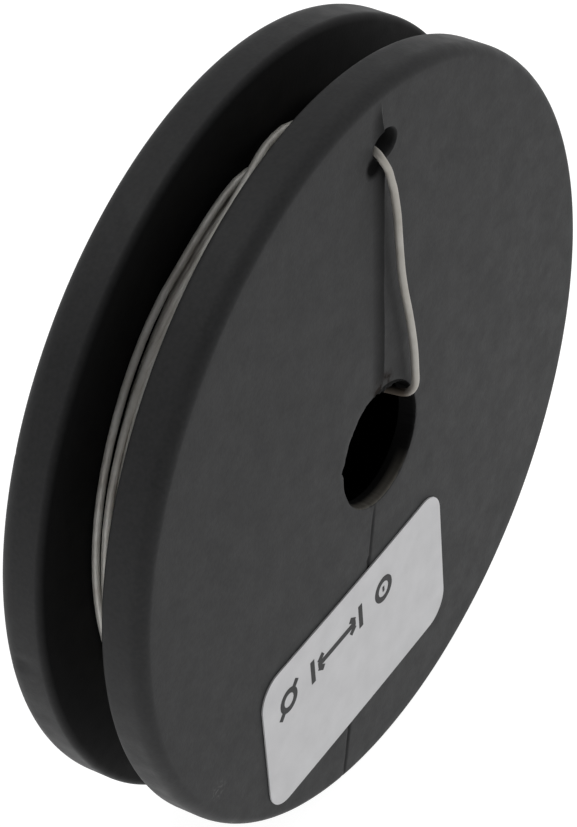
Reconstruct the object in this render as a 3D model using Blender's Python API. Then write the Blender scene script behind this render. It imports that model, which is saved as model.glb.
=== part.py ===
"""Small reel of solder wire, standing on its rims with its axis along Y and its front face along -Y.

Two identical half-reel mouldings, pinned together at the middle of a hollow hub, hold a winding of 0.5 mm
wire. The wire's end comes out through the front flange, runs down the face and hooks into the bore.
"""

import math

import bmesh
import bpy
from mathutils import Vector

# Driving dimensions, in metres.
FLANGE_RADIUS = 0.025
RIM_WIDTH = 0.0031
RIM_ROUND = 0.0010
GROOVE_WIDTH = 0.0040
HUB_RADIUS = 0.0165
HUB_WALL = 0.0026
BORE_RADIUS = 0.0041
BORE_EDGE = 0.0002
HUB_FACE_RADIUS = 0.0080
FACE_RISE = 0.00032
FACE_THICKNESS = 0.0012
WIRE_DIAMETER = 0.0005
WINDING_RADIUS = 0.0205
WIRE_HOLE_RADIUS = 0.00115
WIRE_HOLE = (0.00050, 0.02125)
PIN_RADIUS = 0.0005
PIN_LENGTH = 0.0012
PIN_ANGLES = (20, 140, 260)
# The rear half is the same moulding, turned round and set one pin further on.
REAR_TURN = math.radians(-120)
LABEL_SIZE = (0.02066, 0.0110)
LABEL_CORNER = 0.0016
LABEL_THICKNESS = 0.00015
LABEL_CENTRE = (-0.00234, -0.01458)
LABEL_TURN = math.radians(7.9)
CLEARANCE = 0.0003

# Sizes that follow from them.
WIRE_RADIUS = WIRE_DIAMETER / 2
GROOVE_HALF = GROOVE_WIDTH / 2
RIM_FACE = GROOVE_HALF + RIM_WIDTH
HUB_FACE = RIM_FACE + FACE_RISE
PIN_CIRCLE = HUB_RADIUS - HUB_WALL / 2
FACETS = 72
ROUND_STEPS = 3

# The wire's end, from the winding out through its hole, and on down the face into the bore (x, y, z).
LEAD_OUT_ROUTE = (
    (0.00240, -0.00140, 0.02095),
    (0.00150, -0.00147, 0.02104),
    (0.00065, -0.00170, 0.02106),
    (0.00015, -0.00235, 0.02098),
    (-0.00006, -0.00330, 0.02088),
    (-0.00008, -0.00420, 0.02085),
    (-0.00008, -0.00470, 0.02085),
    (-0.00006, -0.00508, 0.02077),
    (-0.00004, -0.00529, 0.02066),
)
TAIL_ROUTE = (
    (0.00000, -0.00552, 0.02042),
    (0.00004, -0.00562, 0.02023),
    (0.00010, -0.00570, 0.01985),
    (0.00024, -0.00575, 0.01930),
    (0.00043, -0.00579, 0.01863),
    (0.00077, -0.00581, 0.01735),
    (0.00116, -0.00585, 0.01433),
    (0.00138, -0.00588, 0.01280),
    (0.00172, -0.00594, 0.00980),
    (0.00229, -0.00597, 0.00730),
    (0.00288, -0.00597, 0.00478),
    (0.00318, -0.00594, 0.00330),
    (0.00319, -0.00584, 0.00258),
    (0.00308, -0.00553, 0.00210),
    (0.00300, -0.00505, 0.00195),
    (0.00297, -0.00440, 0.00192),
    (0.00295, -0.00375, 0.00190),
)
# Where the straight part of the lead-out meets the line of the tail: the end of the wire bends here.
TAIL_HINGE = Vector((0, -0.00570, 0.02085))


def clear_scene():
    for item in list(bpy.data.objects):
        bpy.data.objects.remove(item)


def make_material(name, color, roughness, metallic):
    material = bpy.data.materials.new(name)
    material.use_nodes = True
    shader = material.node_tree.nodes["Principled BSDF"]
    shader.inputs["Base Color"].default_value = (*color, 1.0)
    shader.inputs["Roughness"].default_value = roughness
    shader.inputs["Metallic"].default_value = metallic
    return material


def add_object(name, data, material=None):
    item = bpy.data.objects.new(name, data)
    bpy.context.collection.objects.link(item)
    if material:
        data.materials.append(material)
    return item


def finish_mesh(name, shape):
    """A mesh from a bmesh, with its faces pointing out and its round surfaces smooth."""
    bmesh.ops.recalc_face_normals(shape, faces=shape.faces)
    mesh = bpy.data.meshes.new(name)
    shape.to_mesh(mesh)
    shape.free()
    mesh.shade_smooth()
    mesh.set_sharp_from_angle(angle=math.radians(35))
    return mesh


def arc(centre, radius, start, end, steps=ROUND_STEPS):
    """Points (radius, y) along a quarter round, from one angle in degrees to the other."""
    angles = [math.radians(start + (end - start) * i / steps) for i in range(steps + 1)]
    return [(centre[0] + radius * math.cos(a), centre[1] + radius * math.sin(a)) for a in angles]


def turned(name, outline):
    """A closed ring turned about the Y axis, with a flat facet straight below the axis."""
    shape = bmesh.new()
    rings = []
    for i in range(FACETS):
        angle = math.tau * (i + 0.5) / FACETS
        across = Vector((math.cos(angle), 0, math.sin(angle)))
        rings.append([shape.verts.new(across * r + Vector((0, y, 0))) for r, y in outline])
    for i, ring in enumerate(rings):
        beside = rings[(i + 1) % FACETS]
        for j in range(len(outline)):
            k = (j + 1) % len(outline)
            shape.faces.new((ring[j], ring[k], beside[k], beside[j]))
    return finish_mesh(name, shape)


def rod(name, place, radius, start, end, sides):
    """A rod along Y at (x, z), used to cut a hole or add a pin."""
    shape = bmesh.new()
    bmesh.ops.create_cone(
        shape, cap_ends=True, segments=sides, radius1=radius, radius2=radius, depth=abs(end - start)
    )
    item = add_object(name, finish_mesh(name, shape))
    item.rotation_euler = (math.pi / 2, 0, 0)
    item.location = (place[0], (start + end) / 2, place[1])
    item.display_type = "WIRE"
    item.hide_render = True
    return item


def polar(radius, degrees):
    angle = math.radians(degrees)
    return (radius * math.cos(angle), radius * math.sin(angle))


def face_y(radius):
    """The front face: flat round the bore, then falling away slightly to the rim."""
    rim = FLANGE_RADIUS - RIM_ROUND
    share = (rim - max(radius, HUB_FACE_RADIUS)) / (rim - HUB_FACE_RADIUS)
    return -(RIM_FACE + FACE_RISE * max(share, 0))


def half_outline():
    """Half of the reel in section: flange, hub wall up to the joint, and the hollow behind the face."""
    rim = FLANGE_RADIUS - RIM_ROUND
    inner = HUB_RADIUS - HUB_WALL
    joint = -CLEARANCE / 2
    behind_face = -(HUB_FACE - FACE_THICKNESS)
    return (
        [(BORE_RADIUS, -HUB_FACE + BORE_EDGE), (BORE_RADIUS + BORE_EDGE, -HUB_FACE)]
        + [(HUB_FACE_RADIUS, -HUB_FACE)]
        + arc((rim, -RIM_FACE + RIM_ROUND), RIM_ROUND, -90, 0)
        + arc((rim, -GROOVE_HALF - RIM_ROUND), RIM_ROUND, 0, 90)
        + [(HUB_RADIUS, -GROOVE_HALF), (HUB_RADIUS, joint)]
        + [(inner, joint), (inner, behind_face), (BORE_RADIUS, behind_face)]
    )


def make_half():
    """One moulding, with three pins and, mirrored beside them, three sockets, so that two of them mate."""
    half = add_object("front_half_reel", turned("half_reel", half_outline()))
    joint = -CLEARANCE / 2
    changes = []
    for degrees in PIN_ANGLES:
        pin = polar(PIN_CIRCLE, degrees)
        socket = polar(PIN_CIRCLE, 180 - degrees)
        end = joint + PIN_LENGTH
        changes.append(("UNION", rod("pin", pin, PIN_RADIUS, joint - PIN_LENGTH, end, 12)))
        deep = joint - PIN_LENGTH - CLEARANCE
        changes.append(("DIFFERENCE", rod("socket", socket, PIN_RADIUS + CLEARANCE, deep, -deep, 12)))
    through = (-RIM_FACE - RIM_WIDTH, 0)
    changes.append(("DIFFERENCE", rod("wire_hole", WIRE_HOLE, WIRE_HOLE_RADIUS, *through, 24)))
    for operation, tool in changes:
        change = half.modifiers.new(tool.name, "BOOLEAN")
        change.operation = operation
        change.object = tool
    cut = half.evaluated_get(bpy.context.evaluated_depsgraph_get())
    mesh = bpy.data.meshes.new_from_object(cut)
    half.modifiers.clear()
    half.data = mesh
    for _, tool in changes:
        bpy.data.objects.remove(tool)
    return half


def make_reel(plastic):
    front = make_half()
    front.data.materials.clear()
    front.data.materials.append(plastic)
    rear = add_object("rear_half_reel", front.data)
    rear.rotation_euler = (0, REAR_TURN, math.pi)


def make_winding(solder):
    """The outer shape of all the turns, just clear of the hub and the flanges."""
    inside = HUB_RADIUS + CLEARANCE
    edge = GROOVE_HALF - CLEARANCE
    corner = WINDING_RADIUS - WIRE_RADIUS
    outline = (
        [(inside, edge), (inside, -edge)]
        + arc((corner, -edge + WIRE_RADIUS), WIRE_RADIUS, -90, 0)
        + arc((corner, edge - WIRE_RADIUS), WIRE_RADIUS, 0, 90)
    )
    add_object("wire_winding", turned("wire_winding", outline), solder)


def smooth_route(route, spacing):
    """Points a given distance apart, or a little less, on a smooth curve through the route's points."""
    points = [Vector(p) for p in route]
    ends = [2 * points[0] - points[1], *points, 2 * points[-1] - points[-2]]
    smooth = []
    for a, b, c, d in zip(ends, ends[1:], ends[2:], ends[3:]):
        steps = max(1, math.ceil((c - b).length / spacing))
        for i in range(steps):
            t = i / steps
            curve = 2 * b + (c - a) * t + (2 * a - 5 * b + 4 * c - d) * t**2 + (3 * b - a - 3 * c + d) * t**3
            smooth.append(curve / 2)
    return smooth + [points[-1]]


def make_wire(name, route, origin, solder):
    curve = bpy.data.curves.new(name, "CURVE")
    curve.dimensions = "3D"
    curve.bevel_depth = WIRE_RADIUS
    curve.bevel_resolution = 2
    curve.use_fill_caps = True
    points = smooth_route(route, 2 * WIRE_DIAMETER)
    spline = curve.splines.new("POLY")
    spline.points.add(len(points) - 1)
    for spot, point in zip(spline.points, points):
        spot.co = (*(point - origin), 1)
    wire = add_object(name, curve, solder)
    wire.location = origin


def label_columns():
    """Places along the label with its half height there, closer together round the corners."""
    half_length, half_height = LABEL_SIZE[0] / 2, LABEL_SIZE[1] / 2
    steps = [math.radians(90 * i / ROUND_STEPS) for i in range(ROUND_STEPS + 1)]
    corner = [
        (half_length - LABEL_CORNER * (1 - math.sin(a)), half_height - LABEL_CORNER * (1 - math.cos(a)))
        for a in steps
    ]
    between = [(half_length - LABEL_CORNER) * i / 4 for i in range(-3, 4)]
    left = [(-u, v) for u, v in reversed(corner)]
    return left + [(u, half_height) for u in between] + corner


def edge_of(side):
    """The points round the edge of one side of the label, in order."""
    lower = [column[0] for column in side]
    upper = [column[-1] for column in reversed(side)]
    return lower + side[-1][1:-1] + upper + side[0][-2:0:-1]


def make_label(paper):
    """A rounded rectangle that follows the face, one clearance in front of it."""
    shape = bmesh.new()
    rows = 6
    turn = (math.cos(LABEL_TURN), math.sin(LABEL_TURN))
    sides = []
    for lift in (CLEARANCE, CLEARANCE + LABEL_THICKNESS):
        side = []
        for u, half_height in label_columns():
            column = []
            for j in range(rows + 1):
                v = half_height * (2 * j / rows - 1)
                x = LABEL_CENTRE[0] + u * turn[0] - v * turn[1]
                z = LABEL_CENTRE[1] + u * turn[1] + v * turn[0]
                column.append(shape.verts.new((x, face_y(math.hypot(x, z)) - lift, z)))
            side.append(column)
        sides.append(side)
    for side in sides:
        for left, right in zip(side, side[1:]):
            for j in range(rows):
                shape.faces.new((left[j], right[j], right[j + 1], left[j + 1]))
    back, front = (edge_of(side) for side in sides)
    for i in range(len(back)):
        k = (i + 1) % len(back)
        shape.faces.new((back[i], back[k], front[k], front[i]))
    add_object("label", finish_mesh("label", shape), paper)


clear_scene()
charcoal_plastic = make_material("charcoal_plastic", (0.045, 0.046, 0.047), 0.5, 0.0)
solder_metal = make_material("solder", (0.62, 0.59, 0.54), 0.35, 1.0)
label_paper = make_material("label_paper", (0.66, 0.65, 0.66), 0.6, 0.0)
make_reel(charcoal_plastic)
make_winding(solder_metal)
make_wire("wire_lead_out", LEAD_OUT_ROUTE, Vector((0, 0, 0)), solder_metal)
make_wire("wire_tail", TAIL_ROUTE, TAIL_HINGE, solder_metal)
make_label(label_paper)
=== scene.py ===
"""The looks of a small reel of solder wire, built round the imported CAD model.

The reel stands on its rims with its axis along Y and its labelled front face along -Y, and its centre is
at the origin. All sizes are in metres.
"""

import math

import bmesh
import bpy
from mathutils import Matrix, Vector, noise


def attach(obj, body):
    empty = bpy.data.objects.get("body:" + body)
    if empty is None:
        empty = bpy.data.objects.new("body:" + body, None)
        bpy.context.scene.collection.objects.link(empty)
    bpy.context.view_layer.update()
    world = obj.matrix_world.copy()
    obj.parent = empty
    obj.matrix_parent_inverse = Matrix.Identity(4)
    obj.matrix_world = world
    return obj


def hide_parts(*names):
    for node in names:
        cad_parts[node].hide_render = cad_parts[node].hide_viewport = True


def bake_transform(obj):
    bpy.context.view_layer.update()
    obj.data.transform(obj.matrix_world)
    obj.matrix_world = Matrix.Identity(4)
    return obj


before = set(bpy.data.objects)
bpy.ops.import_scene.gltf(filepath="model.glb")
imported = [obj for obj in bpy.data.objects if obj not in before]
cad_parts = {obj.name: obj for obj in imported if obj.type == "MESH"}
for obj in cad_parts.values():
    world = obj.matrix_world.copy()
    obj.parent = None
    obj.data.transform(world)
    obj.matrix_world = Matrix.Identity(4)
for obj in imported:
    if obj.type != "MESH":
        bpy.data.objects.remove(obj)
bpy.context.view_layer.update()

# The reel. These sizes repeat the CAD model's, which is faceted where this one is round.
FLANGE_RADIUS = 0.025
RIM_FACE = 0.0051
RIM_ROUND = 0.00075
RIM_ROUND_DEPTH = 0.00110
GROOVE_ROUND = 0.0005
GROOVE_HALF = 0.0020
HUB_RADIUS = 0.0165
HUB_INSIDE = 0.0139
BORE_RADIUS = 0.0041
BORE_EDGE = 0.0002
HUB_FACE = 0.00542
HUB_FACE_RADIUS = 0.0080
FACE_THICKNESS = 0.0012
JOINT_GAP = 0.00015
PIN_CIRCLE = 0.0152
PIN_RADIUS = 0.0005
PIN_LENGTH = 0.0012
PIN_ANGLES = (20, 140, 260)
# The rear half is the same moulding, turned round and set one pin further on.
REAR_TURN = math.radians(-120)
SOCKET_CLEARANCE = 0.0003
WIRE_HOLE_SIZE = (0.00125, 0.00088)
WIRE_HOLE = (0.00036, 0.02118)

# The lines that the moulding shows on its face: a ridge above the bore and a fine groove below it, which is
# pressed deeper in a few spots along it.
RIDGE_ANGLE = 90.0
RIDGE_HEIGHT = 0.00022
RIDGE_WIDTH = 0.0011
RIDGE_STEP = 0.00010
LOWER_LINE_ANGLE = 262.2
LOWER_LINE_DEPTH = 0.00008
LOWER_LINE_WIDTH = 0.00014
LOWER_LINE_SPOTS = (0.00835, 0.0128, 0.02075)
NEAR_LINE = 1.6
FINEST_SECTION = 0.10
COARSEST_SECTION = 1.25

# Marks on the front face: a dent by the wire hole, a scuff near the rim, and painted shade over the bore's
# top edge. The rear moulding has a dent in its rim.
DENT = (-0.00095, -0.0053, 0.02025)
DENT_DEPTH = 0.00018
SCUFF = (-0.0177, -0.0052, -0.0149)
BORE_TOP_SHADE_SPOT = (0.0001, -0.0054, 0.0042)
RIM_DENT = (-0.0246, 0.0038, -0.0042)
RIM_DENT_DEPTH = 0.00020

# The wire.
WIRE_DIAMETER = 0.0005
WIRE_RADIUS = WIRE_DIAMETER / 2
WIRE_LENGTH = 6.0
INNER_LAYERS = 6.79
FIRST_LAYER_RADIUS = HUB_RADIUS + WIRE_RADIUS
LAYER_RISE = 0.00044
LANE_REACH = 0.00173
OUTER_RADIUS = 0.01992
OUTER_PITCH = 0.00065
OUTER_LANES = 6
CROSSING_START = 76.0
CROSSING_END = 94.0
POINTS_PER_TURN = 72
CLIMB_SHARE = 0.03

# Where the top layer's first turn starts and crosses over itself (degrees wound, radius, y).
FIRST_CROSSING = (
    (95.0, 0.01939, 0.00100),
    (100.0, 0.01962, 0.00128),
    (105.0, 0.01990, 0.00154),
    (122.0, 0.01992, 0.00153),
    (134.0, 0.01992, 0.00172),
    (165.0, 0.01992, 0.00173),
    (200.0, 0.01993, 0.00172),
    (250.0, 0.01992, 0.00173),
    (300.0, 0.01991, 0.00171),
    (350.0, 0.01992, 0.00172),
    (400.0, 0.01993, 0.00168),
    (430.0, 0.01998, 0.00135),
    (445.0, 0.02010, 0.00118),
    (450.0, 0.02015, 0.00157),
    (456.0, 0.02016, 0.00147),
    (461.0, 0.02016, 0.00113),
    (466.0, 0.02015, 0.00082),
    (470.0, 0.02014, 0.00066),
    (476.0, 0.02008, 0.00060),
    (483.0, 0.01994, 0.00064),
    (493.0, 0.01992, 0.00080),
    (515.0, 0.01992, 0.00100),
    (540.0, 0.01993, 0.00108),
)

# The wire's end, from the winding out through its hole, and on down the face into the bore (x, y, z).
LEAD_OUT_ROUTE = (
    (0.00240, -0.00140, 0.02095),
    (0.00150, -0.00147, 0.02104),
    (0.00065, -0.00175, 0.02110),
    (0.00005, -0.00245, 0.02108),
    (-0.00022, -0.00345, 0.02104),
    (-0.00030, -0.00420, 0.02104),
    (-0.00040, -0.00465, 0.02108),
)
TAIL_ROUTE = (
    (-0.00040, -0.00465, 0.02108),
    (-0.00052, -0.00490, 0.02114),
    (-0.00061, -0.00513, 0.02112),
    (-0.00064, -0.00536, 0.02099),
    (-0.00060, -0.00553, 0.02075),
    (-0.00046, -0.00564, 0.02044),
    (-0.00028, -0.00569, 0.02009),
    (-0.00010, -0.00572, 0.01973),
    (0.00016, -0.00576, 0.01893),
    (0.00036, -0.00578, 0.01834),
    (0.00056, -0.00581, 0.01742),
    (0.00083, -0.00582, 0.01610),
    (0.00103, -0.00583, 0.01438),
    (0.00130, -0.00588, 0.01214),
    (0.00159, -0.00594, 0.01057),
    (0.00207, -0.00596, 0.00886),
    (0.00250, -0.00597, 0.00716),
    (0.00284, -0.00597, 0.00551),
    (0.00305, -0.00595, 0.00392),
    (0.00316, -0.00592, 0.00310),
    (0.00316, -0.00582, 0.00258),
    (0.00306, -0.00552, 0.00214),
    (0.00300, -0.00505, 0.00198),
    (0.00297, -0.00440, 0.00190),
    (0.00292, -0.00380, 0.00184),
)

# The label, and the marks printed on it.
LABEL_SIZE = (0.02066, 0.01106)
LABEL_CORNER = 0.0019
LABEL_THICKNESS = 0.00010
LABEL_GAP = 0.00002
LABEL_CENTRE = (-0.00236, -0.01444)
LABEL_TURN = math.radians(7.9)
LABEL_ROWS = 18
PRINT_THICKNESS = 0.00002
PRINT_LEFT = -0.0085
PRINT_BASE = 0.00155
PRINT_HEIGHT = 0.0019
STROKE = 0.00042

# The camera: where it stands round the reel, and how far the reel's centre lies off the picture's.
CAMERA_AZIMUTH = math.radians(-57.64)
CAMERA_ELEVATION = math.radians(35.76)
CAMERA_DISTANCE = 0.2378
CAMERA_LENS = 168.6
CAMERA_AIM = (-0.00103, 0.00018)

# How the light tent darkens, towards the camera and towards its left side: each as the cosines from one to
# the other of which it does so, and the light at them.
TENT_OPENING = (0.50, 0.95, 0.74, 0.12)
TENT_SIDE = (-0.97, 0.05, 0.22)
TENT_SIDE_FADE = (0.40, 0.95, 1.0, 0.10)

# The lamps in the tent: name, direction from the reel, watts and width.
LAMPS = (
    ("key_light", (0.68, -0.73, 0.05), 0.30, 0.50),
    ("top_light", (-0.20, 0.42, 0.885), 0.85, 0.30),
)
LAMP_DISTANCE = 0.6
FLOOR_SIZE = 2.0
TABLE_GLOW = 0.95

# Colours and gloss. Where a surface has a pair of colours, noise mixes the two.
PLASTIC = ((0.0245, 0.0250, 0.0256, 1), (0.0275, 0.0278, 0.0284, 1))
PLASTIC_GRAIN = (0.040, 0.040, 0.041, 1)
PLASTIC_GLOSS = 0.10
MATT_GLOSS = 0.01
DUST = (0.30, 0.30, 0.29, 1)
DUST_CELLS = 330.0
SCUFFED = (0.14, 0.138, 0.132, 1)
# Painted shade: beside the ridge, along the fine line and in the dent.
PAINTED_FACE_SHADE = (0.004, 0.004, 0.004, 1)
# Painted shade in the groove and the bore.
PAINTED_HOLLOW_SHADE = (0.005, 0.005, 0.005, 1)
# Painted shade over the bore's top edge.
PAINTED_BORE_TOP_SHADE = (0.012, 0.008, 0.006, 1)
WORN_LIP = (0.125, 0.117, 0.102, 1)
# The wire's colour is painted lighter in the winding and darker at its end, to stand in for the light each
# gets.
WIRE_PAINTED_LIGHTER_IN_WINDING = ((0.86, 0.845, 0.800, 1), (0.70, 0.670, 0.612, 1))
WIRE_PAINTED_DARKER_AT_END = ((0.42, 0.404, 0.372, 1), (0.36, 0.340, 0.303, 1))
FLUX = (0.25, 0.20, 0.15, 1)
# Painted shade on the wire's tip inside the bore.
PAINTED_TIP_SHADE = (0.085, 0.064, 0.046, 1)
PAPER = ((0.535, 0.533, 0.543, 1), (0.590, 0.588, 0.598, 1))
INK = ((0.012, 0.012, 0.013, 1), (0.09, 0.09, 0.095, 1))


# Small helpers.
def clamp(value, low=0.0, high=1.0):
    return max(low, min(high, value))


def smooth_step(value):
    t = clamp(value)
    return t * t * (3 - 2 * t)


def bell(distance, width):
    return math.exp(-((distance / width) ** 2))


def ripple(x, y, z, size, seed=0.0):
    """Smooth noise from -1 to 1, whose bumps are about one size across."""
    return noise.noise(Vector((x / size + seed, y / size - seed, z / size + 2 * seed)))


def polar(radius, degrees):
    angle = math.radians(degrees)
    return (radius * math.cos(angle), radius * math.sin(angle))


def add_object(name, data, material=None):
    item = bpy.data.objects.new(name, data)
    bpy.context.collection.objects.link(item)
    if material:
        data.materials.clear()
        data.materials.append(material)
    return item


def finish_mesh(name, shape, sharp=40):
    """A mesh from a bmesh, with its faces pointing out and its round surfaces smooth."""
    bmesh.ops.recalc_face_normals(shape, faces=shape.faces)
    mesh = bpy.data.meshes.new(name)
    shape.to_mesh(mesh)
    shape.free()
    mesh.shade_smooth()
    mesh.set_sharp_from_angle(angle=math.radians(sharp))
    return mesh


def smooth_route(route, spacing):
    """Points a given distance apart, or a little less, on a smooth curve through the route's points."""
    points = [Vector(p) for p in route]
    ends = [2 * points[0] - points[1], *points, 2 * points[-1] - points[-2]]
    smooth = []
    for a, b, c, d in zip(ends, ends[1:], ends[2:], ends[3:]):
        steps = max(1, math.ceil((c - b).length / spacing))
        for i in range(steps):
            t = i / steps
            linear = (c - a) * t
            square = (2 * a - 5 * b + 4 * c - d) * t**2
            cubic = (3 * b - a - 3 * c + d) * t**3
            smooth.append((2 * b + linear + square + cubic) / 2)
    return smooth + [points[-1]]


# Materials. Every texture is placed by the object's own coordinates, in metres.
class Shader:
    """A material's node tree, with short ways to add what the materials here need."""

    def __init__(self, name, roughness, metallic=0.0, specular=0.5):
        self.material = bpy.data.materials.new(name)
        self.material.use_nodes = True
        self.tree = self.material.node_tree
        self.surface = self.tree.nodes["Principled BSDF"]
        self.set("Roughness", roughness)
        self.set("Metallic", metallic)
        self.set("Specular IOR Level", specular)
        self.place = self.node("ShaderNodeTexCoord").outputs["Object"]

    def node(self, kind, *inputs, **settings):
        item = self.tree.nodes.new(kind)
        for key, value in settings.items():
            setattr(item, key, value)
        for key, value in inputs:
            self.join(value, item.inputs[key])
        return item

    def join(self, value, target):
        if isinstance(value, bpy.types.NodeSocket):
            self.tree.links.new(value, target)
        else:
            target.default_value = value

    def set(self, name, value):
        self.join(value, self.surface.inputs[name])

    def axes(self):
        return self.node("ShaderNodeSeparateXYZ", ("Vector", self.place)).outputs

    def noise(self, size, detail=4.0):
        """Noise from 0 to 1 with features about one size across."""
        return self.node(
            "ShaderNodeTexNoise", ("Vector", self.place), ("Scale", 1 / size), ("Detail", detail)
        ).outputs["Fac"]

    def math(self, operation, a, b=0.0):
        return self.node("ShaderNodeMath", (0, a), (1, b), operation=operation).outputs[0]

    def times(self, value, *others):
        for other in others:
            value = self.math("MULTIPLY", value, other)
        return value

    def remap(self, value, low, high, to_low=0.0, to_high=1.0):
        return self.node(
            "ShaderNodeMapRange",
            ("Value", value),
            ("From Min", low),
            ("From Max", high),
            ("To Min", to_low),
            ("To Max", to_high),
        ).outputs["Result"]

    def mix(self, share, a, b):
        item = self.node("ShaderNodeMix", data_type="RGBA")
        for key, value in (("Factor_Float", share), ("A_Color", a), ("B_Color", b)):
            self.join(value, next(s for s in item.inputs if s.identifier == key))
        return next(s for s in item.outputs if s.identifier == "Result_Color")

    def near(self, point, radius):
        """1 at a point, falling to 0 at a radius from it."""
        away = self.node("ShaderNodeVectorMath", (0, self.place), (1, point), operation="DISTANCE")
        return self.remap(away.outputs["Value"], 0.0, radius, 1.0, 0.0)

    def bump(self, height, depth, strength=1.0):
        bump = self.node("ShaderNodeBump", ("Height", height), ("Distance", depth), ("Strength", strength))
        self.set("Normal", bump.outputs["Normal"])


def grey(value):
    return (value, value, value, 1)


def grainy_plastic(shader):
    """The plastic's own colour: a faint mottle, fine grain, a few specks of dust and a scuff."""
    mottle = shader.remap(shader.noise(0.0024, 5), 0.3, 0.7)
    color = shader.mix(mottle, *PLASTIC)
    grain = shader.remap(shader.noise(0.00028, 3), 0.30, 0.70)
    color = shader.mix(shader.times(grain, 0.45), color, PLASTIC_GRAIN)
    cells = shader.node("ShaderNodeTexVoronoi", ("Vector", shader.place), ("Scale", DUST_CELLS))
    chosen = shader.math("GREATER_THAN", cells.outputs["Color"], 0.80)
    speck = shader.math("LESS_THAN", cells.outputs["Distance"], 0.022)
    color = shader.mix(shader.times(chosen, speck, 0.5), color, DUST)
    rubbed = shader.remap(shader.noise(0.00022, 6), 0.50, 0.62)
    scuff = shader.times(shader.near(SCUFF, 0.0009), rubbed, 0.45)
    return shader.mix(scuff, color, SCUFFED)


def front_painted_shade(shader, axes):
    """How dark the painted shade is on the front face: beside the ridge, along the fine line, and in the
    dent.
    """
    in_front = shader.math("LESS_THAN", axes["Y"], 0.0)
    on_left = shader.math("LESS_THAN", axes["X"], 0.0)
    over_bore = shader.remap(axes["Z"], BORE_RADIUS, BORE_RADIUS + 0.0006)
    inside_rim = shader.remap(axes["Z"], FLANGE_RADIUS - 0.0018, FLANGE_RADIUS - RIM_ROUND, 1.0, 0.0)
    ridge = shader.remap(axes["X"], -0.0011, -0.0002, 0.0, 0.55)
    ridge = shader.times(ridge, in_front, on_left, over_bore, inside_rim)
    across_x, across_z = polar(1, LOWER_LINE_ANGLE + 90)
    beside = shader.node(
        "ShaderNodeVectorMath", (0, shader.place), (1, (across_x, 0, across_z)), operation="DOT_PRODUCT"
    )
    away = shader.math("ABSOLUTE", beside.outputs["Value"])
    under_bore = shader.math("LESS_THAN", axes["Z"], -BORE_RADIUS)
    fine_line = shader.times(shader.remap(away, 0.00005, 0.00030, 0.40, 0.0), in_front, under_bore)
    dent = shader.times(shader.remap(shader.near(DENT, 0.0010), 0.1, 0.5), 0.95)
    return ridge, fine_line, dent


def within_bore(shader):
    """1 on the bore's wall and in front of it, and 0 outside it."""
    in_plane = shader.node("ShaderNodeVectorMath", (0, shader.place), (1, (1, 0, 1)), operation="MULTIPLY")
    radius = shader.node("ShaderNodeVectorMath", (0, in_plane.outputs["Vector"]), operation="LENGTH")
    return shader.math("LESS_THAN", radius.outputs["Value"], BORE_RADIUS + BORE_EDGE / 2)


def moulded_plastic():
    """Charcoal plastic, with painted shade, and duller, in the groove, in the bore, along the face's lines,
    in the dent and over the bore's top edge.
    """
    shader = Shader("charcoal_plastic", 0.5, specular=PLASTIC_GLOSS)
    axes = shader.axes()
    color = grainy_plastic(shader)
    face_shade_masks = front_painted_shade(shader, axes)
    # Painted shade beside the ridge, along the fine line and in the dent.
    for face_shade_mask in face_shade_masks:
        color = shader.mix(face_shade_mask, color, PAINTED_FACE_SHADE)
    # Painted shade in patches over the bore's top edge.
    patches = shader.remap(shader.noise(0.0007, 4), 0.38, 0.60)
    bore_top_shade = shader.times(shader.remap(shader.near(BORE_TOP_SHADE_SPOT, 0.0014), 0.0, 0.4), patches)
    color = shader.mix(shader.times(bore_top_shade, 0.85), color, PAINTED_BORE_TOP_SHADE)
    # Painted shade in the groove and down the bore.
    depth = shader.math("ABSOLUTE", axes["Y"])
    groove = shader.remap(depth, GROOVE_HALF, GROOVE_HALF + GROOVE_ROUND, 0.78, 0.0)
    bore = within_bore(shader)
    for hollow_shade in (groove, shader.times(bore, 0.85)):
        color = shader.mix(hollow_shade, color, PAINTED_HOLLOW_SHADE)
    at_lip = shader.remap(axes["Y"], -0.0050, -0.0046, 1.0, 0.0)
    at_bottom = shader.remap(axes["Z"], -0.0040, -0.0024, 1.0, 0.0)
    color = shader.mix(shader.times(bore, at_lip, at_bottom, 0.8), color, WORN_LIP)
    shader.set("Base Color", color)
    matt = 0.0
    for part in (*face_shade_masks, groove, bore, bore_top_shade):
        matt = shader.math("MAXIMUM", matt, part)
    shader.set("Specular IOR Level", shader.remap(matt, 0.0, 1.0, PLASTIC_GLOSS, MATT_GLOSS))
    shader.set("Roughness", shader.remap(shader.noise(0.0012, 4), 0.3, 0.7, 0.46, 0.56))
    shader.bump(shader.noise(0.00016, 3), 0.000010, 0.8)
    return shader.material


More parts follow.
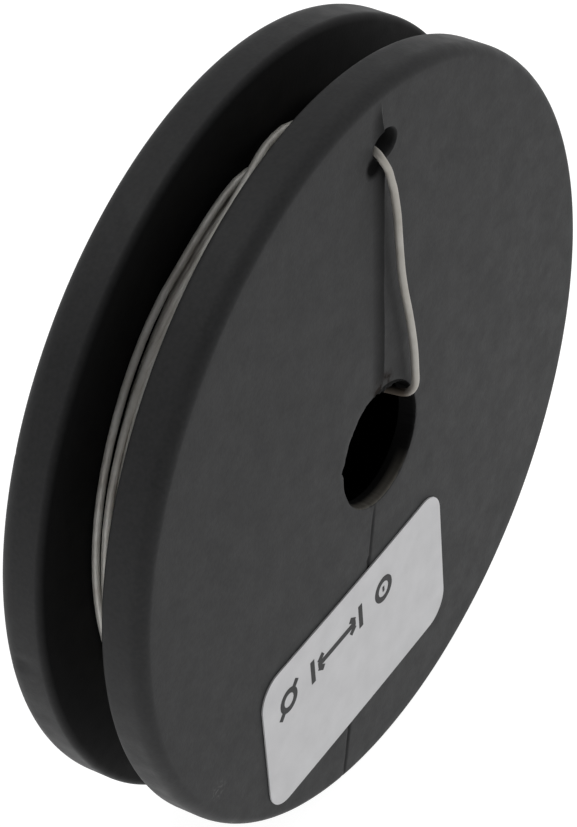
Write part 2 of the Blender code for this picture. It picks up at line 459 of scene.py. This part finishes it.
def solder():
    """Soft grey metal, painted lighter in the winding than at its end to stand in for light, with some flux
    and painted shade on its tip in the bore.
    """
    shader = Shader("solder", 0.5, metallic=0.25)
    dull = shader.remap(shader.noise(0.0011, 5), 0.35, 0.75)
    # Painted light: the wire is lighter in the winding than at its end.
    wound = shader.remap(shader.axes()["Y"], -0.0045, -0.0030)
    color = shader.mix(wound, shader.mix(dull, *WIRE_PAINTED_DARKER_AT_END), shader.mix(dull, *WIRE_PAINTED_LIGHTER_IN_WINDING))
    flux = shader.remap(shader.noise(0.0034, 3), 0.56, 0.74)
    color = shader.mix(shader.times(flux, 0.35), color, FLUX)
    # Painted shade on the tip where it goes into the bore.
    tip = shader.remap(shader.near(TAIL_ROUTE[-1], 0.0029), 0.15, 0.48)
    color = shader.mix(shader.times(tip, 0.90), color, PAINTED_TIP_SHADE)
    shader.set("Base Color", color)
    shader.set("Roughness", shader.remap(shader.noise(0.0005, 4), 0.3, 0.7, 0.42, 0.58))
    shader.bump(shader.noise(0.00012, 3), 0.000006, 0.6)
    return shader.material


def paper():
    """Coated label paper, slightly mottled, with a fine tooth."""
    shader = Shader("label_paper", 0.6, specular=0.3)
    mottle = shader.remap(shader.noise(0.0018, 4), 0.3, 0.7)
    shader.set("Base Color", shader.mix(mottle, *PAPER))
    shader.bump(shader.noise(0.00010, 4), 0.000008, 0.6)
    return shader.material


def ink():
    """Dark print, worn thin in spots."""
    shader = Shader("label_ink", 0.55, specular=0.3)
    worn = shader.remap(shader.noise(0.00022, 4), 0.62, 0.80)
    shader.set("Base Color", shader.mix(worn, *INK))
    return shader.material


def backdrop():
    """A glowing white table, which shows no shadows."""
    shader = Shader("lit_table", 0.9, specular=0.0)
    shader.set("Base Color", grey(0.25))
    shader.set("Emission Color", grey(1.0))
    shader.set("Emission Strength", TABLE_GLOW)
    return shader.material


# The reel's two mouldings.
def face_y(radius):
    """The front face: flat round the bore, then falling away slightly to the rim."""
    rim = FLANGE_RADIUS - RIM_ROUND
    share = (rim - max(radius, HUB_FACE_RADIUS)) / (rim - HUB_FACE_RADIUS)
    return -(RIM_FACE + (HUB_FACE - RIM_FACE) * max(share, 0))


def arc(centre, wide, high, start, end, steps):
    """Points round part of an ellipse, from one angle to another."""
    corners = [polar(1, start + (end - start) * i / steps) for i in range(steps + 1)]
    return [(centre[0] + wide * u, centre[1] + high * v) for u, v in corners]


def between(start, end, steps):
    """Points along a line, without its two ends."""
    shares = [i / steps for i in range(1, steps)]
    return [(start[0] + (end[0] - start[0]) * t, start[1] + (end[1] - start[1]) * t) for t in shares]


def half_outline():
    """Half of the reel in section: the bore, face, rim, groove wall and hub, and back inside the hub."""
    rim = FLANGE_RADIUS - RIM_ROUND
    rim_start = -RIM_FACE + RIM_ROUND_DEPTH
    wall_top = FLANGE_RADIUS - GROOVE_ROUND
    behind_face = -(HUB_FACE - FACE_THICKNESS)
    face_start = BORE_RADIUS + BORE_EDGE
    lip = (face_start, -HUB_FACE + BORE_EDGE)
    bore = between((BORE_RADIUS, behind_face), (BORE_RADIUS, lip[1]), 6)
    face = [(radius, face_y(radius)) for radius, _ in between((face_start, 0), (rim, 0), 50)]
    return (
        bore
        + arc(lip, BORE_EDGE, BORE_EDGE, 180, 270, 5)
        + face
        + arc((rim, rim_start), RIM_ROUND, RIM_ROUND_DEPTH, -90, 0, 10)
        + between((FLANGE_RADIUS, rim_start), (FLANGE_RADIUS, -GROOVE_HALF - GROOVE_ROUND), 4)
        + arc((wall_top, -GROOVE_HALF - GROOVE_ROUND), GROOVE_ROUND, GROOVE_ROUND, 0, 90, 7)
        + between((wall_top, -GROOVE_HALF), (HUB_RADIUS, -GROOVE_HALF), 16)
        + [(HUB_RADIUS, -GROOVE_HALF)]
        + [(HUB_RADIUS, -JOINT_GAP), (HUB_INSIDE, -JOINT_GAP)]
        + [(HUB_INSIDE, behind_face)]
        + between((HUB_INSIDE, behind_face), (BORE_RADIUS, behind_face), 5)
        + [(BORE_RADIUS, behind_face)]
    )


def turn_between(angle, other):
    """Degrees from one direction to another, from -180 to 180."""
    return (angle - other + 180) % 360 - 180


def section_angles():
    """Directions round the axis, close together where the moulding's two lines are."""
    angles = []
    angle = 0.0
    while angle < 360:
        angles.append(angle)
        away = min(abs(turn_between(angle, line)) for line in (RIDGE_ANGLE, LOWER_LINE_ANGLE))
        angle += clamp(FINEST_SECTION + 0.22 * (away - NEAR_LINE), FINEST_SECTION, COARSEST_SECTION)
    return angles


def ridge_height(x, z):
    """The ridge rises slowly from the left to its line and then drops away at once."""
    if z < 0:
        return 0.0
    left = -x + 0.00003 * ripple(x, 0, z, 0.003, 5)
    strength = 0.75 + 0.35 * bell(math.hypot(x, z) - 0.0205, 0.0028) + 0.2 * ripple(0, 0, z, 0.0025, 9)
    rise = clamp(1 - left / RIDGE_WIDTH) ** 1.6 if left > 0 else smooth_step(1 + left / RIDGE_STEP)
    fade = smooth_step((0.0240 - z) / 0.0020)
    return RIDGE_HEIGHT * strength * rise * fade


def lower_line(x, z):
    """A fine line, pressed deeper in a few spots."""
    along = Vector(polar(1, LOWER_LINE_ANGLE))
    place = Vector((x, z))
    run = place.dot(along)
    if run < 0:
        return 0.0
    off = abs(place.x * along.y - place.y * along.x)
    strength = clamp(0.75 + 0.9 * ripple(run, 0, 0, 0.0014, 3), 0.15, 1.6)
    pressed = bell(off, LOWER_LINE_WIDTH) * strength
    spots = sum(bell(off, 0.00022) * bell(run - spot, 0.00020) for spot in LOWER_LINE_SPOTS)
    return -LOWER_LINE_DEPTH * (pressed + 1.2 * spots)


def face_relief(x, z, radius):
    """How far the face stands proud of its plain shape."""
    edge = smooth_step((radius - BORE_RADIUS) / 0.0008) * smooth_step((FLANGE_RADIUS - radius) / 0.0009)
    waves = 0.000012 * ripple(x, 0, z, 0.0045, 7) + 0.000004 * ripple(x, 0, z, 0.0013, 1)
    dent = -DENT_DEPTH * bell(math.hypot(x - DENT[0], (z - DENT[2]) * 1.4), 0.0005)
    return edge * (ridge_height(x, z) + lower_line(x, z) + waves + dent)


def lip_wear(degrees):
    """How far the bore's rough lip is eaten back: most at one side, least at the top, where a burr hangs."""
    x, z = polar(1, degrees)
    rough = 0.00007 * ripple(x, 0, z, 0.16, 2) + 0.00004 * ripple(x, 0, z, 0.05, 4)
    side_nick = 0.00026 * bell(turn_between(degrees, 173), 4.5)
    burr = 0.00042 * bell(turn_between(degrees, 80), 20) * (0.9 + 0.6 * ripple(x, 0, z, 0.07, 6))
    return rough + side_nick - burr


def dent_rim(mesh):
    """A small dent in the rear moulding's rim."""
    for vertex in mesh.vertices:
        away = vertex.co - Vector(RIM_DENT)
        depth = RIM_DENT_DEPTH * bell(away.z, 0.00030) * bell(away.y, 0.0006) * bell(away.x, 0.003)
        vertex.co.x *= 1 - depth / FLANGE_RADIUS
        vertex.co.z *= 1 - depth / FLANGE_RADIUS


def turned(name, outline):
    """A closed ring turned about the Y axis from an outline, with the moulding's small irregularities."""
    shape = bmesh.new()
    rings = []
    for degrees in section_angles():
        across, up = polar(1, degrees)
        worn = lip_wear(degrees)
        ring = []
        for radius, y in outline:
            wear = worn * bell(max(radius - BORE_RADIUS, 0), 0.00035) * smooth_step((-y - 0.0042) / 0.0009)
            radius += wear
            x, z = radius * across, radius * up
            if y < -RIM_FACE + 0.0004 and radius > BORE_RADIUS + BORE_EDGE / 2:
                y -= face_relief(x, z, radius)
            ring.append(shape.verts.new((x, y, z)))
        rings.append(ring)
    for i, ring in enumerate(rings):
        beside = rings[(i + 1) % len(rings)]
        for j in range(len(outline)):
            k = (j + 1) % len(outline)
            shape.faces.new((ring[j], ring[k], beside[k], beside[j]))
    return finish_mesh(name, shape)


def rod_mesh(name, place, sections, sides):
    """A rod along Y at (x, z), given as (y, half width, half height) from one end to the other."""
    shape = bmesh.new()
    loops = []
    for y, wide, high in sections:
        corners = [polar(1, 360 * i / sides) for i in range(sides)]
        loops.append([shape.verts.new((place[0] + wide * u, y, place[1] + high * v)) for u, v in corners])
    for near, far in zip(loops, loops[1:]):
        for i in range(sides):
            k = (i + 1) % sides
            shape.faces.new((near[i], near[k], far[k], far[i]))
    shape.faces.new(loops[0])
    shape.faces.new(loops[-1])
    return add_object(name, finish_mesh(name, shape))


def half_moulding(name, plastic):
    """One moulding with its wire hole, its pins and the sockets for the other moulding's pins."""
    half = add_object(name, turned(name, half_outline()))
    y = face_y(math.hypot(*WIRE_HOLE))
    flare = (
        (y - 0.0005, 0.0004),
        (y - 0.00003, 0.00014),
        (y + 0.00005, 0.00005),
        (y + 0.0002, 0.0),
        (-GROOVE_HALF - 0.0002, 0.0),
        (-GROOVE_HALF + 0.0001, 0.0002),
    )
    hole = [(depth, WIRE_HOLE_SIZE[0] + wider, WIRE_HOLE_SIZE[1] + wider) for depth, wider in flare]
    changes = [("DIFFERENCE", rod_mesh("wire_hole", WIRE_HOLE, hole, 48))]
    for degrees in PIN_ANGLES:
        pin = polar(PIN_CIRCLE, degrees)
        socket = polar(PIN_CIRCLE, 180 - degrees)
        reach = JOINT_GAP + PIN_LENGTH
        shaft = [(-reach, PIN_RADIUS, PIN_RADIUS), (PIN_LENGTH - JOINT_GAP, PIN_RADIUS, PIN_RADIUS)]
        room = PIN_RADIUS + SOCKET_CLEARANCE
        pocket = [(-reach - SOCKET_CLEARANCE, room, room), (reach, room, room)]
        changes.append(("UNION", rod_mesh("pin", pin, shaft, 20)))
        changes.append(("DIFFERENCE", rod_mesh("socket", socket, pocket, 20)))
    for operation, tool in changes:
        change = half.modifiers.new(tool.name, "BOOLEAN")
        change.operation = operation
        change.object = tool
    shaped = bpy.data.meshes.new_from_object(half.evaluated_get(bpy.context.evaluated_depsgraph_get()))
    half.modifiers.clear()
    half.data = shaped
    shaped.shade_smooth()
    shaped.set_sharp_from_angle(angle=math.radians(40))
    shaped.materials.clear()
    shaped.materials.append(plastic)
    for _, tool in changes:
        bpy.data.objects.remove(tool)
    return half


def make_reel():
    plastic = moulded_plastic()
    front = half_moulding("front_moulding", plastic)
    rear = add_object("rear_moulding", front.data.copy())
    turn_round = Matrix.Rotation(math.pi, 4, "Z")
    rear.data.transform(turn_round @ Matrix.Rotation(REAR_TURN, 4, "Y"))
    dent_rim(rear.data)
    for piece, node in ((front, "front_half_reel"), (rear, "rear_half_reel")):
        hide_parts(node)
        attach(piece, "reel")


# The wire.
def wire_curve(name, points, material):
    curve = bpy.data.curves.new(name, "CURVE")
    curve.dimensions = "3D"
    curve.bevel_depth = WIRE_RADIUS
    curve.bevel_resolution = 4
    curve.use_fill_caps = True
    spline = curve.splines.new("POLY")
    spline.points.add(len(points) - 1)
    for spot, point in zip(spline.points, points):
        spot.co = (*point, 1)
    spline.use_smooth = True
    return add_object(name, curve, material)


def wire_point(degrees, radius, y):
    x, z = polar(radius, degrees % 360)
    return Vector((x, y, z))


def inner_turns(end_angle, turns):
    """The hidden layers: the wire goes to and fro across the hub, one layer at a time, to end_angle."""
    steps = round(turns * POINTS_PER_TURN)
    points = []
    for i in range(steps):
        progress = i / steps * INNER_LAYERS
        layer = int(progress)
        across = progress - layer
        side = 1 if layer % 2 == 0 else -1
        climb = smooth_step((across - 1 + CLIMB_SHARE) / CLIMB_SHARE)
        radius = FIRST_LAYER_RADIUS + LAYER_RISE * (layer + climb)
        y = side * LANE_REACH * (2 * across - 1)
        points.append(wire_point(end_angle - 360 * turns * (1 - i / steps), radius, y))
    return points


def outer_turns():
    """The top layer, from the rear wall to the front: each turn keeps its lane and then crosses over."""
    leave_x, leave_y, leave_z = LEAD_OUT_ROUTE[0]
    leave_radius = math.hypot(leave_x, leave_z)
    leave_degrees = 360 * OUTER_LANES + math.degrees(math.atan2(leave_z, leave_x))
    last_in_lane = leave_degrees - 60
    least_gap = 10
    steps = 8
    stops = list(FIRST_CROSSING)
    for lane in range(1, OUTER_LANES):
        y = LANE_REACH - OUTER_PITCH * lane
        start = 360 * lane + CROSSING_END
        end = 360 * (lane + 1) + CROSSING_START
        for i in range(steps + 1):
            degrees = start + (end - start) * i / steps
            if stops[-1][0] + least_gap < degrees < last_in_lane:
                wander = 0.00003 * ripple(degrees, 0, lane, 70, 11)
                stops.append((degrees, OUTER_RADIUS + wander, y + wander))
    stops.append((leave_degrees - 35, OUTER_RADIUS, stops[-1][2]))
    stops.append((leave_degrees - 15, (OUTER_RADIUS + leave_radius) / 2, stops[-1][2]))
    stops.append((leave_degrees, leave_radius, leave_y))
    return [wire_point(*stop) for stop in smooth_route(stops, 360 / POINTS_PER_TURN)][:-1]


def path_length(points):
    return sum((b - a).length for a, b in zip(points, points[1:]))


def make_wire():
    """One length of wire: wound on the hub, out through the hole in the front flange, and down the face."""
    metal = solder()
    lead_out = smooth_route(LEAD_OUT_ROUTE, WIRE_DIAMETER / 2)
    tail = smooth_route(TAIL_ROUTE, WIRE_DIAMETER / 2)
    outer = outer_turns()
    seen = path_length(outer) + path_length(lead_out) + path_length(tail)
    mean_radius = FIRST_LAYER_RADIUS + LAYER_RISE * (INNER_LAYERS - 1) / 2
    turns = (WIRE_LENGTH - seen) / (math.tau * mean_radius)
    path = inner_turns(FIRST_CROSSING[0][0], turns) + outer + lead_out
    wire = wire_curve("solder_wire", path, metal)
    wire_end = wire_curve("wire_end_shape", tail, metal)
    shaped = bpy.data.meshes.new_from_object(wire_end.evaluated_get(bpy.context.evaluated_depsgraph_get()))
    bpy.data.objects.remove(wire_end)
    wire_end = add_object("solder_wire_end", shaped, metal)
    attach(wire, "reel")
    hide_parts("wire_winding", "wire_lead_out")
    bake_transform(wire_end)
    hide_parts("wire_tail")


# The label.
def on_label(u, v, lift):
    """A point at (u, v) from the label's centre, in line with its sides, lifted off the face."""
    turn_x, turn_z = math.cos(LABEL_TURN), math.sin(LABEL_TURN)
    x = LABEL_CENTRE[0] + u * turn_x - v * turn_z
    z = LABEL_CENTRE[1] + u * turn_z + v * turn_x
    return (x, face_y(math.hypot(x, z)) - lift, z)


def label_columns():
    """Places along the label with its half height there, closer together round the corners."""
    half_length, half_height = LABEL_SIZE[0] / 2, LABEL_SIZE[1] / 2
    corner = []
    for i in range(11):
        a = math.radians(9 * i)
        corner.append((
            half_length - LABEL_CORNER * (1 - math.sin(a)),
            half_height - LABEL_CORNER * (1 - math.cos(a)),
        ))
    middle = [(half_length - LABEL_CORNER) * i / 16 for i in range(-15, 16)]
    return [(-u, v) for u, v in reversed(corner)] + [(u, half_height) for u in middle] + corner


def edge_of(side):
    lower = [column[0] for column in side]
    upper = [column[-1] for column in reversed(side)]
    return lower + side[-1][1:-1] + upper + side[0][-2:0:-1]


def label_mesh():
    shape = bmesh.new()
    sides = []
    for lift in (LABEL_GAP, LABEL_GAP + LABEL_THICKNESS):
        side = []
        for u, half_height in label_columns():
            heights = [half_height * (2 * j / LABEL_ROWS - 1) for j in range(LABEL_ROWS + 1)]
            side.append([shape.verts.new(on_label(u, v, lift)) for v in heights])
        sides.append(side)
        for left, right in zip(side, side[1:]):
            for j in range(LABEL_ROWS):
                shape.faces.new((left[j], right[j], right[j + 1], left[j + 1]))
    back, front = (edge_of(side) for side in sides)
    for i in range(len(back)):
        k = (i + 1) % len(back)
        shape.faces.new((back[i], back[k], front[k], front[i]))
    return finish_mesh("paper_label", shape, 50)


def ribbon(shape, path, closed=False):
    """A printed line of even width along a path of (u, v) points on the label."""
    lift = LABEL_GAP + LABEL_THICKNESS
    count = len(path)
    corners = []
    for i, point in enumerate(path):
        before = path[i - 1] if closed or i else point
        after = path[(i + 1) % count] if closed or i < count - 1 else point
        along = (Vector(after) - Vector(before)).normalized()
        side = Vector((-along.y, along.x)) * STROKE / 2
        edges = (Vector(point) - side, Vector(point) + side)
        corners.append([
            shape.verts.new(on_label(edge.x, edge.y, lift + rise))
            for rise in (0, PRINT_THICKNESS)
            for edge in edges
        ])
    for i in range(count if closed else count - 1):
        a, b = corners[i], corners[(i + 1) % count]
        for j, k in ((0, 1), (1, 3), (3, 2), (2, 0)):
            shape.faces.new((a[j], a[k], b[k], b[j]))
    if not closed:
        for end in (corners[0], corners[-1]):
            shape.faces.new((end[0], end[1], end[3], end[2]))


def line(start, end, steps=6):
    return [start, *between(start, end, steps), end]


def circle(centre, radius, steps=32):
    return arc(centre, radius, radius, 0, 360, steps)[:-1]


def print_mesh():
    """Plain pictures on the label: a wire's thickness, its length, and a reel."""
    shape = bmesh.new()
    left = PRINT_LEFT
    base = PRINT_BASE
    top = PRINT_BASE + PRINT_HEIGHT
    middle = PRINT_BASE + PRINT_HEIGHT / 2
    ribbon(shape, circle((left + 0.0009, middle), 0.00072), closed=True)
    ribbon(shape, line((left - 0.0001, base - 0.0001), (left + 0.0004, base + 0.00045)))
    ribbon(shape, line((left + 0.0014, top - 0.00045), (left + 0.0019, top + 0.0001)))
    start = left + 0.0036
    end = left + 0.0091
    for x, inward in ((start, 1), (end, -1)):
        ribbon(shape, line((x, base), (x, top)))
        tip = x + inward * 0.00045
        for rise in (-0.00062, 0.00062):
            near = (tip + inward * 0.00022, middle + rise * 0.36)
            ribbon(shape, line(near, (tip + inward * 0.00075, middle + rise)))
    ribbon(shape, line((start + 0.0006, middle), (end - 0.0006, middle)))
    reel = left + 0.0118
    ribbon(shape, circle((reel, middle), 0.00078), closed=True)
    ribbon(shape, line((reel - 0.0001, middle), (reel + 0.0001, middle), 2))
    return finish_mesh("label_print", shape)


def make_label():
    sheet = add_object("paper_label", label_mesh(), paper())
    marks = add_object("label_print", print_mesh(), ink())
    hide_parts("label")
    for piece in (sheet, marks):
        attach(piece, "reel")


# The camera, the floor and the light.
def camera_direction():
    """The way the camera looks."""
    return Vector((
        -math.sin(CAMERA_AZIMUTH) * math.cos(CAMERA_ELEVATION),
        math.cos(CAMERA_AZIMUTH) * math.cos(CAMERA_ELEVATION),
        -math.sin(CAMERA_ELEVATION),
    ))


def make_camera():
    forward = camera_direction()
    right = forward.cross(Vector((0, 0, 1))).normalized()
    up = right.cross(forward)
    data = bpy.data.cameras.new("camera")
    data.lens = CAMERA_LENS
    data.sensor_width = 36
    data.clip_start = 0.01
    camera = add_object("camera", data)
    camera.location = -forward * CAMERA_DISTANCE
    aim = right * CAMERA_AIM[0] + up * CAMERA_AIM[1]
    camera.rotation_euler = (aim - camera.location).to_track_quat("-Z", "Y").to_euler()
    bpy.context.scene.camera = camera


def soft_box(name, direction, power, size):
    data = bpy.data.lights.new(name, "AREA")
    data.energy = power
    data.size = size
    lamp = add_object(name, data)
    lamp.location = Vector(direction).normalized() * LAMP_DISTANCE
    lamp.rotation_euler = (-lamp.location).to_track_quat("-Z", "Y").to_euler()


def light_tent():
    """White cloth all round, dark where the photographer stands and dimmer on the left."""
    world = bpy.data.worlds.new("light_tent")
    world.use_nodes = True
    nodes = world.node_tree.nodes
    links = world.node_tree.links
    direction = nodes.new("ShaderNodeTexCoord")
    strength = nodes.new("ShaderNodeMath")
    strength.operation = "MULTIPLY"
    dark_parts = ((-camera_direction(), TENT_OPENING), (TENT_SIDE, TENT_SIDE_FADE))
    for i, (way, fade) in enumerate(dark_parts):
        towards = nodes.new("ShaderNodeVectorMath")
        towards.operation = "DOT_PRODUCT"
        towards.inputs[1].default_value = way
        cloth = nodes.new("ShaderNodeMapRange")
        for name, value in zip(("From Min", "From Max", "To Min", "To Max"), fade):
            cloth.inputs[name].default_value = value
        links.new(direction.outputs["Generated"], towards.inputs[0])
        links.new(towards.outputs["Value"], cloth.inputs["Value"])
        links.new(cloth.outputs["Result"], strength.inputs[i])
    links.new(strength.outputs["Value"], nodes["Background"].inputs["Strength"])
    nodes["Background"].inputs["Color"].default_value = grey(1.0)
    return world


def make_stage():
    shape = bmesh.new()
    bmesh.ops.create_grid(shape, x_segments=1, y_segments=1, size=FLOOR_SIZE)
    floor = add_object("floor", finish_mesh("floor", shape), backdrop())
    floor.location.z = -FLANGE_RADIUS
    for lamp in LAMPS:
        soft_box(*lamp)
    bpy.context.scene.world = light_tent()
    bpy.context.scene.view_settings.view_transform = "Standard"


make_camera()
make_wire()
make_reel()
make_label()
make_stage()
